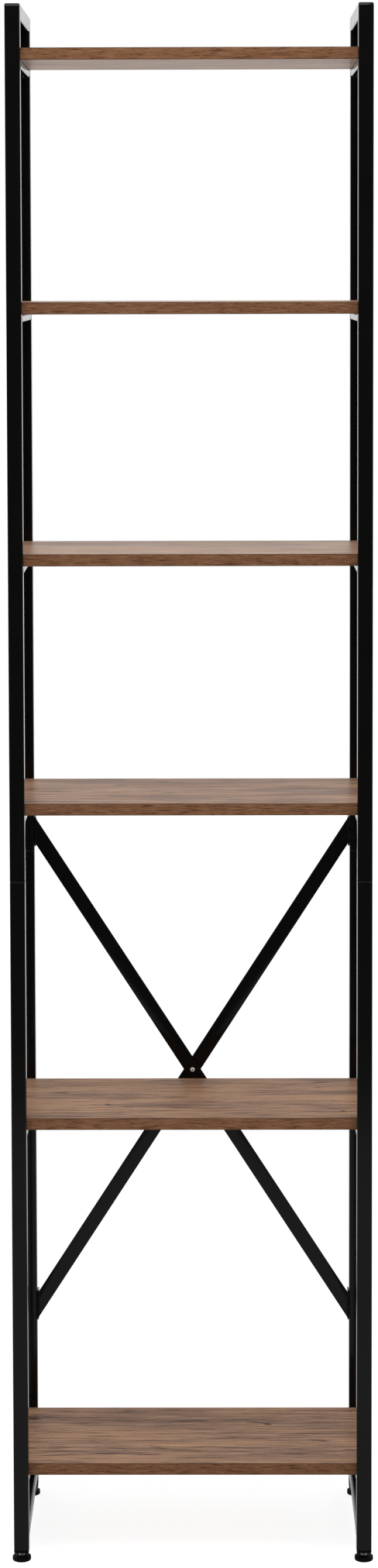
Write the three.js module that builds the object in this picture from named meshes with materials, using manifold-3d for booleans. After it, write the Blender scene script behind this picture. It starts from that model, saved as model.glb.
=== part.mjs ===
// Open-shelf unit: two steel side-ladder modules, one standing on the other, six boards, a cross brace
// and four levelling feet. Millimetres, +Z up, X to the right, the front faces -Y, the floor is z = 0
// and the origin is under the middle of the unit.
import * as THREE from "three";
import { mergeVertices } from "three/addons/utils/BufferGeometryUtils.js";
import Module from "manifold-3d";

const wasm = await Module();
wasm.setup();

// Whole frame
const overallWidth = 480; // outer faces of the left and right posts
const overallDepth = 260; // front face to rear face of the posts
const lowerPostLength = 907;
const upperPostLength = 1153.7;
const seatGap = 0.3; // kept between pieces that seat on each other

// Square tube of the posts, top rails and bottom rails
const postSide = 20;
const tubeWall = 1.2;
const tubeCornerRadius = 2;
const tubeInnerRadius = 0.8;
const endChamfer = 0.3; // on the sawn ends at the seam and at the feet

// Flat tube under the ends of each board
const railHeight = 10;
const railWall = 1.2;
const railCornerRadius = 1.5;
const railInnerRadius = 0.6;

// Heights in each module: the tops of its lowest and highest boards, and the rest spread evenly between
const bottomRailRise = 14; // underside of the bottom rails above the lower posts' ends
const lowerBoardRise = 113; // above the lower posts' ends
const lowerBoardDrop = 322; // below the lower posts' tops
const lowerBoardCount = 2;
const upperBoardRise = 101.7; // above the upper posts' lower ends
const upperBoardDrop = 56; // below the upper posts' tops
const upperBoardCount = 4;

// Boards
const boardThickness = 16;
const boardInset = 1; // board ends behind the outer faces of the frame
const boardEdgeRadius = 0.8;

// Joiner sleeves inside the posts, and the screws that lock the front ones
const sleeveClearance = 0.3;
const sleeveWall = 1.2;
const sleeveCornerRadius = 1.2;
const sleeveInnerRadius = 0.4;
const sleeveInLower = 50;
const sleeveInUpper = 18;
const sleeveScrewRise = 10;
const sleeveScrewRadius = 2;
const sleeveScrewLength = 6;
const sleeveScrewHeadRadius = 3.6;
const sleeveScrewHeadHeight = 2.2;
const sleeveScrewSocketRadius = 1.45;
const sleeveScrewSocketDepth = 1.3;

// Cross brace
const barWidth = 20;
const barThickness = 3;
const barSetback = 1; // front bar behind the front faces of the rear posts
const plateThickness = 2;
const plateOverhang = 2.5; // plate past the bar at its upper and lower ends
const braceLowerRise = 260; // plate centre above the lower posts' ends
const braceUpperRise = 27; // plate centre above the upper posts' ends
const centreBoltRadius = 2;
const centreHeadRadius = 3.5;
const centreHeadHeight = 2.3;
const centreSocketRadius = 1.45;
const centreSocketDepth = 1.3;
const centreBoltTail = 1.5; // past the nut
const nutRadius = 4.04; // across the corners, halved
const nutHeight = 3.2;
const braceBoltRadius = 2.5;
const braceHeadRadius = 4.5;
const braceHeadHeight = 2.7;
const braceSocketRadius = 1.75;
const braceSocketDepth = 1.5;
const braceBoltInset = 7.6; // bolt axis in front of the rear faces of the posts
const rivetNutRadius = 3.5;
const rivetNutLength = 11;
const rivetCollarRadius = 4.6;
const rivetCollarLength = 2.5;
const holeClearance = 0.3; // radial, round every bolt, stud and insert

// Levelling feet
const padRadius = 12.4;
const padThickness = 5.5;
const padEdgeRadius = 1.2;
const padFootChamfer = 0.8;
const padBossRadius = 7;
const padBossHeight = 1;
const padSocketDepth = 3.5;
const footFreeLength = 5.2; // stud seen between the pad and the plug
const studRadius = 4;
const studLength = 27;
const studTipChamfer = 0.8;
const plugFlangeThickness = 3;
const plugFlangeRadius = 1.6;
const plugBodyHeight = 18;
const plugBodyRadius = 1;
const plugClearance = 0.3;

// Smoothness of round shapes, counted in flat steps
const cornerSteps = 2;
const roundSides = 24;
const smallRoundSides = 12;
const hexSides = 6;
const filletSteps = 2;

// One overrun serves every cut
const overrun = 1;

// Derived places
const postX = (overallWidth - postSide) / 2;
const postY = (overallDepth - postSide) / 2;
const innerFaceX = overallWidth / 2 - postSide;
const clearDepth = overallDepth - 2 * postSide;
const postLift = padThickness + padBossHeight + footFreeLength + plugFlangeThickness + seatGap;
const seamHeight = postLift + lowerPostLength;
const upperLift = seamHeight + seatGap;
const quarterTurn = Math.PI / 2;
const mitreGap = seatGap * Math.SQRT1_2; // each side of a mitre, measured upright
const braceBoltY = overallDepth / 2 - braceBoltInset;

const sides = [
  { name: "left", sign: -1 },
  { name: "right", sign: 1 },
];
const ends = [
  { name: "front", sign: -1 },
  { name: "rear", sign: 1 },
];

// Finishes: each piece gets a material of its own from one of these
const finishes = {
  blackPaint: { color: 0x181716, roughness: 0.42, metalness: 0 },
  walnutLaminate: { color: 0x6e4e3a, roughness: 0.5, metalness: 0 },
  zincSteel: { color: 0xa9abac, roughness: 0.32, metalness: 1 },
  blackPlastic: { color: 0x1c1b1b, roughness: 0.55, metalness: 0 },
};

// A closed geometry as a manifold solid, and back
function solidFrom(geometry) {
  const bare = geometry.clone();
  bare.deleteAttribute("normal");
  bare.deleteAttribute("uv");
  const merged = mergeVertices(bare);
  const vertProperties = merged.getAttribute("position").array;
  const triVerts = new Uint32Array(merged.index.array);
  return new wasm.Manifold(new wasm.Mesh({ numProp: 3, vertProperties, triVerts }));
}

function geometryFrom(solid) {
  const mesh = solid.getMesh();
  const geometry = new THREE.BufferGeometry();
  geometry.setAttribute("position", new THREE.BufferAttribute(mesh.vertProperties, mesh.numProp));
  geometry.setIndex(new THREE.BufferAttribute(mesh.triVerts, 1));
  const faceted = geometry.toNonIndexed();
  faceted.computeVertexNormals();
  return faceted;
}

// A rounded rectangle about the origin, drawn on a Shape or a Path
function drawRounded(outline, width, height, radius) {
  const x = width / 2 - radius;
  const y = height / 2 - radius;
  outline.absarc(x, y, radius, 0, quarterTurn, false);
  outline.absarc(-x, y, radius, quarterTurn, 2 * quarterTurn, false);
  outline.absarc(-x, -y, radius, 2 * quarterTurn, 3 * quarterTurn, false);
  outline.absarc(x, -y, radius, 3 * quarterTurn, 4 * quarterTurn, false);
  outline.closePath();
  return outline;
}

function solidSection(width, height, radius) {
  return drawRounded(new THREE.Shape(), width, height, radius);
}

function tubeSection(width, height, wall, radius, innerRadius) {
  const shape = solidSection(width, height, radius);
  shape.holes.push(drawRounded(new THREE.Path(), width - 2 * wall, height - 2 * wall, innerRadius));
  return shape;
}

// A section run along +Z from z = 0, with its end edges chamfered where a chamfer is given
function prism(section, length, chamfer = 0) {
  const geometry = new THREE.ExtrudeGeometry(section, {
    depth: length - 2 * chamfer,
    curveSegments: cornerSteps,
    bevelEnabled: chamfer > 0,
    bevelThickness: chamfer,
    bevelSize: chamfer,
    bevelOffset: -chamfer,
    bevelSegments: 1,
  });
  return geometry.translate(0, 0, chamfer);
}

// The same, run along +Y with the section in X and Z, or along +X with the section in Y and Z
function prismAlongY(section, length) {
  return prism(section, length).rotateX(quarterTurn).translate(0, length, 0);
}

function prismAlongX(section, length) {
  return prism(section, length).rotateX(quarterTurn).rotateZ(quarterTurn);
}

// A flat outline in depth and height, run across the whole width of a tube, for cuts
function sideCutter(points) {
  const outline = new THREE.Shape(points.map(([y, z]) => new THREE.Vector2(y, z)));
  const length = postSide + 2 * overrun;
  return solidFrom(prismAlongX(outline, length).translate(-length / 2, 0, 0));
}

// A round bar about the axis, from z = 0 up, for shanks and holes
function roundBar(radius, length, facets = smallRoundSides) {
  return new THREE.CylinderGeometry(radius, radius, length, facets)
    .rotateX(quarterTurn)
    .translate(0, 0, length / 2);
}

// A turned piece from its profile of radius and height, about +Z
function turned(profile, facets) {
  const points = profile.map(([radius, height]) => new THREE.Vector2(radius, height));
  points.push(points[0].clone());
  return new THREE.LatheGeometry(points, facets).rotateX(quarterTurn);
}

// Points of a quarter round in a turned profile
function quarterRound(centreRadius, centreHeight, radius, fromAngle, toAngle) {
  return Array.from({ length: filletSteps + 1 }, (_, step) => {
    const angle = fromAngle + ((toAngle - fromAngle) * step) / filletSteps;
    return [centreRadius + radius * Math.cos(angle), centreHeight + radius * Math.sin(angle)];
  });
}

function addPiece(group, name, geometry, finish) {
  const material = new THREE.MeshStandardMaterial(finishes[finish]);
  const mesh = new THREE.Mesh(geometry, material);
  mesh.name = name;
  group.add(mesh);
  return mesh;
}

// The side outline of the upper module with its top corners rounded, for the mitred corners
function roundedTop(top) {
  const outline = solidSection(overallDepth, 2 * postSide, tubeCornerRadius);
  const length = postSide + 2 * overrun;
  return solidFrom(prismAlongX(outline, length).translate(-length / 2, 0, top - postSide));
}

// A hole from the hollow of a post or sleeve out through one wall, towards +Z before it is turned
function wallBar(radius) {
  const start = postSide / 4;
  return roundBar(radius, postSide / 2 + overrun - start).translate(0, 0, start);
}

// The hole for a rivet nut in the wall that faces the brace
function rivetHole(side, height) {
  const bar = wallBar(rivetNutRadius + holeClearance).rotateY(-side.sign * quarterTurn);
  return solidFrom(bar.translate(0, braceBoltY - postY, height));
}

// The hole for a sleeve screw in the wall that faces the middle of the unit
function sleeveScrewHole(end, height) {
  const bar = wallBar(sleeveScrewRadius + holeClearance).rotateX(end.sign * quarterTurn);
  return solidFrom(bar.translate(0, 0, height));
}

// Posts

function postTube(length) {
  const section = tubeSection(postSide, postSide, tubeWall, tubeCornerRadius, tubeInnerRadius);
  return solidFrom(prism(section, length, endChamfer));
}

function lowerPost(side, end) {
  const tube = postTube(lowerPostLength);
  if (end.name === "front") return geometryFrom(tube);
  return geometryFrom(tube.subtract(rivetHole(side, braceLowerRise)));
}

// The upper posts are cut at 45 degrees at the top, where the top rail lies over them
function upperPost(side, end) {
  const top = upperPostLength;
  const outer = (end.sign * postSide) / 2 + end.sign * overrun;
  const inner = -outer;
  const rise = postSide + 2 * overrun;
  const high = top + overrun - mitreGap;
  const mitre = sideCutter([
    [outer, high],
    [inner, high - rise],
    [inner, high + rise],
  ]);
  const envelope = roundedTop(top).translate([0, -end.sign * postY, 0]);
  const below = solidFrom(
    prism(solidSection(postSide + overrun, postSide + overrun, tubeCornerRadius), top - postSide),
  );
  const post = postTube(top + endChamfer).subtract(mitre).intersect(envelope.add(below));
  const isRear = end.name === "rear";
  const hole = isRear ? rivetHole(side, braceUpperRise) : sleeveScrewHole(end, sleeveScrewRise);
  return geometryFrom(post.subtract(hole));
}

// Rails

function topRail() {
  const section = tubeSection(postSide, postSide, tubeWall, tubeCornerRadius, tubeInnerRadius);
  const tube = solidFrom(prismAlongY(section, overallDepth).translate(0, -overallDepth / 2, 0));
  const cut = ends.map((end) => {
    const outer = end.sign * (overallDepth / 2 + overrun);
    const inner = end.sign * (overallDepth / 2 - postSide - overrun);
    const low = -postSide / 2 - overrun + mitreGap;
    const high = postSide / 2 + overrun + mitreGap;
    return sideCutter([
      [outer, high],
      [inner, low],
      [outer, low],
    ]);
  });
  const mitred = tube.subtract(cut[0]).subtract(cut[1]);
  return geometryFrom(mitred.intersect(roundedTop(postSide / 2)));
}

// A tube welded between the front and the rear post, about its own centre
function crossRail(height, wall, radius, innerRadius) {
  const section = tubeSection(postSide, height, wall, radius, innerRadius);
  const length = clearDepth - 2 * seatGap;
  return prismAlongY(section, length).translate(0, -length / 2, 0);
}

// Boards: laminated chipboard with softened long edges, lying on the rails between the posts
function board() {
  const length = overallWidth - 2 * boardInset;
  const section = solidSection(clearDepth - 2 * seatGap, boardThickness, boardEdgeRadius);
  return prismAlongX(section, length).translate(-length / 2, 0, 0);
}

// Joiner sleeves
const sleeveLength = sleeveInLower + seatGap + sleeveInUpper;
const sleeveScrewHeight = sleeveInLower + seatGap + sleeveScrewRise;

function joinerSleeve(end) {
  const outer = postSide - 2 * tubeWall - 2 * sleeveClearance;
  const section = tubeSection(outer, outer, sleeveWall, sleeveCornerRadius, sleeveInnerRadius);
  const tube = solidFrom(prism(section, sleeveLength));
  if (end.name === "rear") return geometryFrom(tube);
  return geometryFrom(tube.subtract(sleeveScrewHole(end, sleeveScrewHeight)));
}

// A domed screw: the head above z = 0 with a hexagonal socket in it, and the shank below
function screw(head, shank, socket) {
  const crown = quarterRound(0, 0, 1, 0, quarterTurn).map(([spreadShare, riseShare]) => [
    shank.radius + (head.radius - shank.radius) * spreadShare,
    head.height * riseShare,
  ]);
  const profile = [
    [0, -shank.length],
    [shank.radius, -shank.length],
    [shank.radius, 0],
    ...crown,
    [0, head.height],
  ];
  const body = solidFrom(turned(profile, smallRoundSides));
  const hex = roundBar(socket.radius, socket.depth + overrun, hexSides);
  return body.subtract(solidFrom(hex.translate(0, 0, head.height - socket.depth)));
}

// Brace: two flat bars with a plate welded on each end, crossing one behind the other
const plateCentreX = innerFaceX - seatGap - plateThickness / 2;
const braceLow = postLift + braceLowerRise;
const braceHigh = upperLift + braceUpperRise;
const braceRun = 2 * (innerFaceX - seatGap - plateThickness);
const braceAngle = Math.atan2(braceHigh - braceLow, braceRun);
const barCut = barWidth / Math.cos(braceAngle);
const plateHeight = barCut + 2 * plateOverhang;
const braceCentreZ = (braceHigh + braceLow) / 2;
const frontBarY = overallDepth / 2 - postSide + barSetback + barThickness / 2;
const rearBarY = frontBarY + barThickness + seatGap;

// The bar falls from left to right when slope is -1 and rises when it is 1; y is the bar's middle
function braceBar(slope, y) {
  const half = braceRun / 2 + plateThickness / 2;
  const drop = slope * half * Math.tan(braceAngle);
  const outline = new THREE.Shape([
    new THREE.Vector2(-half, -drop - barCut / 2),
    new THREE.Vector2(half, drop - barCut / 2),
    new THREE.Vector2(half, drop + barCut / 2),
    new THREE.Vector2(-half, -drop + barCut / 2),
  ]);
  const bar = prism(outline, barThickness).rotateX(quarterTurn).translate(0, y + barThickness / 2, 0);
  const boltHole = roundBar(centreBoltRadius + holeClearance, barThickness + 2 * overrun)
    .rotateX(quarterTurn)
    .translate(0, y + barThickness / 2 + overrun, 0);
  let welded = solidFrom(bar).subtract(solidFrom(boltHole));
  for (const side of sides) {
    const plate = new THREE.BoxGeometry(plateThickness, postSide, plateHeight).translate(
      side.sign * plateCentreX,
      postY,
      (side.sign * slope * (braceHigh - braceLow)) / 2,
    );
    const hole = roundBar(braceBoltRadius + holeClearance, plateThickness + 2 * overrun)
      .rotateY(quarterTurn)
      .translate(
        side.sign * plateCentreX - plateThickness / 2 - overrun,
        braceBoltY,
        (side.sign * slope * (braceHigh - braceLow)) / 2,
      );
    welded = welded.add(solidFrom(plate)).subtract(solidFrom(hole));
  }
  return geometryFrom(welded);
}

const centreBoltGrip = 2 * barThickness + 3 * seatGap + nutHeight;

function centreBolt() {
  return geometryFrom(
    screw(
      { radius: centreHeadRadius, height: centreHeadHeight },
      { radius: centreBoltRadius, length: centreBoltGrip + centreBoltTail },
      { radius: centreSocketRadius, depth: centreSocketDepth },
    ),
  );
}

function centreNut() {
  const nut = solidFrom(roundBar(nutRadius, nutHeight, hexSides));
  const bore = roundBar(centreBoltRadius + holeClearance, nutHeight + 2 * overrun);
  return geometryFrom(nut.subtract(solidFrom(bore.translate(0, 0, -overrun))));
}

function braceBolt() {
  return geometryFrom(
    screw(
      { radius: braceHeadRadius, height: braceHeadHeight },
      { radius: braceBoltRadius, length: plateThickness + 2 * seatGap + rivetNutLength },
      { radius: braceSocketRadius, depth: braceSocketDepth },
    ),
  );
}

// A threaded insert set in a post's wall, with its collar swollen behind the wall; z runs into the post
function rivetNut() {
  const bore = braceBoltRadius + holeClearance;
  const collarStart = tubeWall + seatGap;
  const collarEnd = collarStart + rivetCollarLength;
  const profile = [
    [bore, 0],
    [rivetNutRadius, 0],
    [rivetNutRadius, collarStart],
    [rivetCollarRadius, collarStart],
    [rivetCollarRadius, collarEnd],
    [rivetNutRadius, collarEnd],
    [rivetNutRadius, rivetNutLength],
    [bore, rivetNutLength],
  ];
  return geometryFrom(solidFrom(turned(profile, smallRoundSides)));
}

function sleeveScrew() {
  return geometryFrom(
    screw(
      { radius: sleeveScrewHeadRadius, height: sleeveScrewHeadHeight },
      { radius: sleeveScrewRadius, length: sleeveScrewLength },
      { radius: sleeveScrewSocketRadius, depth: sleeveScrewSocketDepth },
    ),
  );
}

// Levelling feet

function footPad() {
  const socket = studRadius + holeClearance;
  const top = padThickness;
  const crest = padThickness + padBossHeight;
  const profile = [
    [0, 0],
    [padRadius - padFootChamfer, 0],
    [padRadius, padFootChamfer],
    ...quarterRound(padRadius - padEdgeRadius, top - padEdgeRadius, padEdgeRadius, 0, quarterTurn),
    [padBossRadius + padBossHeight, top],
    [padBossRadius, crest],
    [socket, crest],
    [socket, crest - padSocketDepth],
    [0, crest - padSocketDepth],
  ];
  return geometryFrom(solidFrom(turned(profile, roundSides)));
}

function footStud() {
  const tip = studRadius - studTipChamfer;
  const profile = [
    [0, 0],
    [tip, 0],
    [studRadius, studTipChamfer],
    [studRadius, studLength - studTipChamfer],
    [tip, studLength],
    [0, studLength],
  ];
  return geometryFrom(solidFrom(turned(profile, roundSides)));
}

// The plug's flange closes the post's end, and its body fills the tube above it
function footPlug() {
  const bodySide = postSide - 2 * tubeWall - 2 * plugClearance;
  const flange = prism(solidSection(postSide, postSide, plugFlangeRadius), plugFlangeThickness);
  const body = prism(
    solidSection(bodySide, bodySide, plugBodyRadius),
    plugBodyHeight + plugFlangeThickness / 2,
  ).translate(0, 0, plugFlangeThickness / 2);
  const bore = roundBar(studRadius + holeClearance, plugFlangeThickness + plugBodyHeight + 2 * overrun);
  const plug = solidFrom(flange).add(solidFrom(body));
  return geometryFrom(plug.subtract(solidFrom(bore.translate(0, 0, -overrun))));
}

// Assembly
const shelfUnit = new THREE.Group();
const lowerModule = new THREE.Group();
const upperModule = new THREE.Group();
lowerModule.position.z = postLift;
upperModule.position.z = upperLift;
shelfUnit.add(lowerModule, upperModule);

for (const side of sides) {
  for (const end of ends) {
    const corner = `${end.name}_${side.name}`;
    const x = side.sign * postX;
    const y = end.sign * postY;
    const lower = addPiece(lowerModule, `lower_post_${corner}`, lowerPost(side, end), "blackPaint");
    lower.position.set(x, y, 0);
    const upper = addPiece(upperModule, `upper_post_${corner}`, upperPost(side, end), "blackPaint");
    upper.position.set(x, y, 0);
    const sleeve = addPiece(lowerModule, `joiner_sleeve_${corner}`, joinerSleeve(end), "zincSteel");
    sleeve.position.set(x, y, lowerPostLength - sleeveInLower);
    const foot = new THREE.Group();
    foot.position.set(x, y, 0);
    shelfUnit.add(foot);
    addPiece(foot, `foot_pad_${corner}`, footPad(), "blackPlastic");
    const stud = addPiece(foot, `foot_stud_${corner}`, footStud(), "zincSteel");
    stud.position.z = padThickness + padBossHeight - padSocketDepth + seatGap;
    const plug = addPiece(lowerModule, `foot_plug_${corner}`, footPlug(), "blackPlastic");
    plug.position.set(x, y, -plugFlangeThickness - seatGap);
  }
}

for (const side of sides) {
  const x = side.sign * postX;
  const top = addPiece(upperModule, `top_rail_${side.name}`, topRail(), "blackPaint");
  top.position.set(x, 0, upperPostLength - postSide / 2);
  const bottomTube = crossRail(postSide, tubeWall, tubeCornerRadius, tubeInnerRadius);
  const bottom = addPiece(lowerModule, `bottom_rail_${side.name}`, bottomTube, "blackPaint");
  bottom.position.set(x, 0, bottomRailRise + postSide / 2);
  const screwPiece = addPiece(upperModule, `sleeve_screw_front_${side.name}`, sleeveScrew(), "zincSteel");
  screwPiece.rotation.x = -quarterTurn;
  screwPiece.position.set(x, -postY + postSide / 2 + seatGap, sleeveScrewRise);
}

// A board's top height in its module, with its two rails under it
function addShelf(group, number, boardTop) {
  const shelf = addPiece(group, `shelf_board_${number}`, board(), "walnutLaminate");
  shelf.position.z = boardTop - boardThickness / 2;
  for (const side of sides) {
    const tube = crossRail(railHeight, railWall, railCornerRadius, railInnerRadius);
    const rail = addPiece(group, `shelf_rail_${number}_${side.name}`, tube, "blackPaint");
    rail.position.set(side.sign * postX, 0, boardTop - boardThickness - seatGap - railHeight / 2);
  }
}

// The boards of one module, numbered upwards from the first number
function addShelves(group, firstNumber, count, lowestTop, highestTop) {
  const pitch = (highestTop - lowestTop) / (count - 1);
  for (let step = 0; step < count; step += 1) {
    addShelf(group, firstNumber + step, lowestTop + step * pitch);
  }
}

addShelves(lowerModule, 1, lowerBoardCount, lowerBoardRise, lowerPostLength - lowerBoardDrop);
addShelves(
  upperModule,
  lowerBoardCount + 1,
  upperBoardCount,
  upperBoardRise,
  upperPostLength - upperBoardDrop,
);

// Brace, at its own height across the two modules
const brace = new THREE.Group();
brace.position.z = braceCentreZ;
shelfUnit.add(brace);
addPiece(brace, "brace_bar_front", braceBar(-1, frontBarY), "blackPaint");
addPiece(brace, "brace_bar_rear", braceBar(1, rearBarY), "blackPaint");
const bolt = addPiece(brace, "brace_centre_bolt", centreBolt(), "zincSteel");
bolt.rotation.x = quarterTurn;
bolt.position.y = frontBarY - barThickness / 2 - seatGap;
const nut = addPiece(brace, "brace_centre_nut", centreNut(), "zincSteel");
nut.rotation.x = -quarterTurn;
nut.position.y = rearBarY + barThickness / 2 + seatGap;

for (const side of sides) {
  for (const [level, rise] of [["lower", -1], ["upper", 1]]) {
    const z = (rise * (braceHigh - braceLow)) / 2;
    const endBolt = addPiece(brace, `brace_bolt_${level}_${side.name}`, braceBolt(), "zincSteel");
    endBolt.rotation.y = -side.sign * quarterTurn;
    endBolt.position.set(side.sign * (innerFaceX - plateThickness - 2 * seatGap), braceBoltY, z);
    const insert = addPiece(brace, `rivet_nut_${level}_${side.name}`, rivetNut(), "zincSteel");
    insert.rotation.y = side.sign * quarterTurn;
    insert.position.set(side.sign * innerFaceX, braceBoltY, z);
  }
}

export default shelfUnit;
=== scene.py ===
"""Looks of a tall open-shelf unit: a black steel frame in two modules with six wood-grain boards.

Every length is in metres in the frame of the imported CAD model: X to the right, Y to the back, Z up.
"""

import logging
import math
from dataclasses import dataclass
from enum import Enum
from functools import reduce
from operator import or_
from typing import Callable, Iterable, Sequence, Union

import bmesh
import bpy
from mathutils import Matrix, Vector


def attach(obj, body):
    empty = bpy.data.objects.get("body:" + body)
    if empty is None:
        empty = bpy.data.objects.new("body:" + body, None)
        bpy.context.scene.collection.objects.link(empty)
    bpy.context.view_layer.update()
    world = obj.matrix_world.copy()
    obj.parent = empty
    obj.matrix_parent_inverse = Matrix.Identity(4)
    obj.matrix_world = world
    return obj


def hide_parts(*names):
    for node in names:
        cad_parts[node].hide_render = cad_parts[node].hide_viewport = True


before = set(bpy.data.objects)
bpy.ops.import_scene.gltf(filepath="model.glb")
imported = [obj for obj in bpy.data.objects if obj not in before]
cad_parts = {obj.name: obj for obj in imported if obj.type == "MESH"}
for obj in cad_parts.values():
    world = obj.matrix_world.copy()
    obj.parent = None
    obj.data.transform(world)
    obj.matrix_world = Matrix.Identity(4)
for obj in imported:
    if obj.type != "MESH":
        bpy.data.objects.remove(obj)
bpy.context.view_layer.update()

LOG = logging.getLogger("open_shelf")
MM = 0.001
FRAME_BODY = "frame"
SIDES = (("left", -1), ("right", 1))
DEPTHS = (("front", -1), ("rear", 1))
DEPTHWAYS = Vector((0.0, 1.0, 0.0))
Colour = tuple[float, float, float]
Point = tuple[float, float, float]
Flat = tuple[float, float]
Outline = list[Flat]
Rows = list[list[Vector]]
Placer = Callable[[float, float, float], Vector]


class Slot(Enum):
    """The material slots."""

    PAINT = "black_paint"
    WOOD = "walnut_laminate"
    STEEL = "zinc_steel"
    PLASTIC = "black_plastic"


class Axis(Enum):
    """Which way a shape's own third direction points."""

    X = "x"
    Y = "y"
    Z = "z"


def link(name: str, data: bpy.types.ID) -> bpy.types.Object:
    """Puts data into the scene as a named object.

    Args:
        name: the object's name.
        data: its mesh, lamp or camera.

    Returns:
        The object.
    """
    made = bpy.data.objects.new(name, data)
    bpy.context.scene.collection.objects.link(made)
    return made


# ---------------------------------------------------------------- shader nodes


class Signal:
    """A shader socket that takes Python's operators."""

    def __init__(self, graph: "Graph", socket: bpy.types.NodeSocket) -> None:
        """Wraps one output socket of a graph."""
        self.graph = graph
        self.socket = socket

    def __add__(self, other: "Value") -> "Signal":
        """The sum with a number or another signal."""
        return self.graph.math("ADD", self, other)

    def __sub__(self, other: "Value") -> "Signal":
        """This signal less a number or another signal."""
        return self.graph.math("SUBTRACT", self, other)

    def __rsub__(self, other: "Value") -> "Signal":
        """A number less this signal."""
        return self.graph.math("SUBTRACT", other, self)

    def __mul__(self, other: "Value") -> "Signal":
        """The product with a number or another signal."""
        return self.graph.math("MULTIPLY", self, other)

    def __abs__(self) -> "Signal":
        """This signal without its sign."""
        return self.graph.math("ABSOLUTE", self)

    def __or__(self, other: "Value") -> "Signal":
        """The larger of the two, which for masks is what either covers."""
        return self.graph.math("MAXIMUM", self, other)

    __radd__ = __add__
    __rmul__ = __mul__
    __ror__ = __or__


Value = Union[float, int, Signal]
Source = Union[Value, Sequence[float], bpy.types.NodeSocket, bpy.types.Node]


@dataclass(frozen=True)
class Noise:
    """The character of a noise: its scale, its finer layers, their strength, and how it is bent."""

    scale: float = 1.0
    detail: float = 2.0
    rough: float = 0.55
    bent: float = 0.0


class Graph:
    """Builds the node tree of one material or world."""

    MIX_INPUTS = (0, 6, 7)
    MIX_RESULT = 2

    def __init__(self, tree: bpy.types.NodeTree) -> None:
        """Starts with an empty tree."""
        self.tree = tree
        tree.nodes.clear()

    def node(self, kind: str, settings: dict | None = None, operands: Sequence[Source] = (),
             **inputs: Source) -> bpy.types.Node:
        """Makes one node.

        Args:
            kind: Blender's type name of the node.
            settings: properties of the node, which are set first.
            operands: what its first sockets get, in their order.
            **inputs: what other sockets get, by name, with _ for a blank.

        Returns:
            The node.
        """
        made = self.tree.nodes.new(kind)
        for name, value in (settings or {}).items():
            setattr(made, name, value)
        for socket, value in zip(made.inputs, operands):
            self.feed(socket, value)
        for name, value in inputs.items():
            self.feed(made.inputs[name.replace("_", " ")], value)
        return made

    def feed(self, socket: bpy.types.NodeSocket, value: Source) -> None:
        """Links a socket to what feeds it, or sets the socket's own value.

        Args:
            socket: the input socket.
            value: a signal, an output, a node whose first output is meant, a number, a vector or a colour.
        """
        if isinstance(value, bpy.types.Node):
            value = value.outputs[0]
        if isinstance(value, Signal):
            value = value.socket
        if isinstance(value, bpy.types.NodeSocket):
            self.tree.links.new(value, socket)
        elif socket.type == "RGBA":
            socket.default_value = (*value, 1.0)
        else:
            socket.default_value = value

    def signal(self, kind: str, output: str | int = 0, settings: dict | None = None,
               operands: Sequence[Source] = (), **inputs: Source) -> Signal:
        """Makes one node and takes one of its outputs; the rest is as in the method above."""
        return Signal(self, self.node(kind, settings, operands, **inputs).outputs[output])

    def math(self, operation: str, *operands: Value) -> Signal:
        """One Math node on numbers and signals."""
        return self.signal("ShaderNodeMath", 0, {"operation": operation}, operands)

    def vector(self, operation: str, *operands: Source) -> bpy.types.NodeSocket:
        """One Vector Math node."""
        return self.node("ShaderNodeVectorMath", {"operation": operation}, operands).outputs[0]

    def mix(self, factor: Value, first: Source, second: Source) -> bpy.types.NodeSocket:
        """One colour Mix node.

        Args:
            factor: the share of the second colour, held between 0 and 1.
            first: the colour where the factor is 0.
            second: the colour where it is 1.

        Returns:
            The mixed colour.
        """
        made = self.node("ShaderNodeMix", {"data_type": "RGBA"})
        for key, value in zip(self.MIX_INPUTS, (factor, first, second)):
            self.feed(made.inputs[key], value)
        return made.outputs[self.MIX_RESULT]

    def ramp(self, value: Signal, low: float, high: float) -> Signal:
        """0 where the signal is at low and 1 where it is at high, with soft ends."""
        return self.signal("ShaderNodeMapRange", 0, {"interpolation_type": "SMOOTHSTEP"},
                           Value=value, From_Min=low, From_Max=high)

    def place(self) -> bpy.types.NodeSocket:
        """The place on the piece, in metres."""
        return self.node("ShaderNodeTexCoord").outputs["Object"]

    def noise(self, spot: bpy.types.NodeSocket, kind: Noise, output: str = "Fac") -> Signal:
        """Noise between 0 and 1 at a place; its Color output is three such noises."""
        return self.signal("ShaderNodeTexNoise", output, Vector=spot, Scale=kind.scale, Detail=kind.detail,
                           Roughness=kind.rough, Distortion=kind.bent)

    def depth(self, spot: bpy.types.NodeSocket) -> Signal:
        """The part of a place that runs to the back."""
        return self.signal("ShaderNodeSeparateXYZ", "Y", Vector=spot)

    def ray(self, kind: str) -> Signal:
        """1 for one kind of ray, such as Camera or Glossy, and 0 for the others."""
        return self.signal("ShaderNodeLightPath", f"Is {kind} Ray")


def blank(name: str) -> tuple[bpy.types.Material, Graph]:
    """Makes an empty material.

    Args:
        name: its name.

    Returns:
        The material and the graph that fills it.
    """
    material = bpy.data.materials.new(name)
    material.use_nodes = True
    return material, Graph(material.node_tree)


def grey(level: float) -> Colour:
    """A grey of one level."""
    return level, level, level


# ---------------------------------------------------------------- finishes


@dataclass(frozen=True)
class Coat:
    """A material and the slot that it belongs to."""

    material: bpy.types.Material
    slot: Slot


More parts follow.
